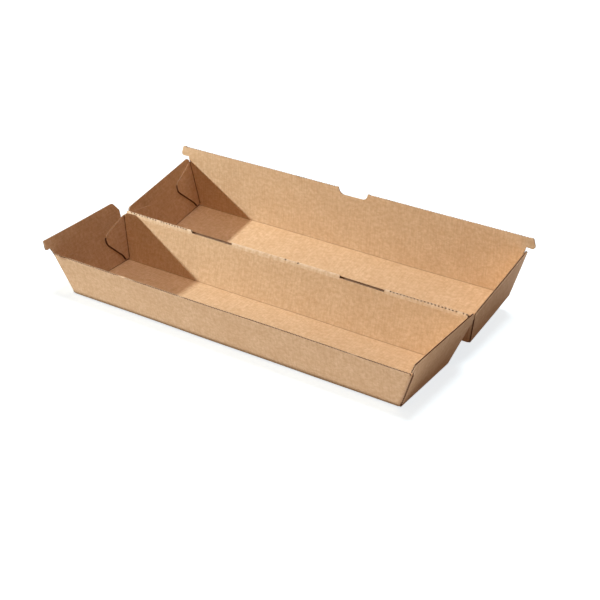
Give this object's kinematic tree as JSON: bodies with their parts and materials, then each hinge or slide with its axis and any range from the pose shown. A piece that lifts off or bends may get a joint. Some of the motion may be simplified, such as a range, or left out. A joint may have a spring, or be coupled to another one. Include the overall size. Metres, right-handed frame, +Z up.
{
  "type": "baguette box",
  "caption": "Long open clamshell food box of folded corrugated kraft board, with a hinged lid tray, glued corner flaps and snap-lock ears.",
  "frame": {"origin": "middle of the underside of the base tray's floor", "axes": "+X along the box, +Y from the base tray to the lid tray, +Z up"},
  "size_m": [0.3236, 0.1712, 0.0608],
  "materials": {
    "kraft_board_base": "matte",
    "kraft_board_lid": "matte"
  },
  "bodies": {
    "base": {"base_tray": "kraft_board_base"},
    "lid": {"lid_tray": "kraft_board_lid"}
  },
  "joints": [
    {"name": "lid_hinge", "type": "hinge", "parent": "base", "child": "lid", "pos_m": [0, 0.04352, 0.03632], "axis": [1, 0, 0], "range_deg": [0, 171]}
  ]
}
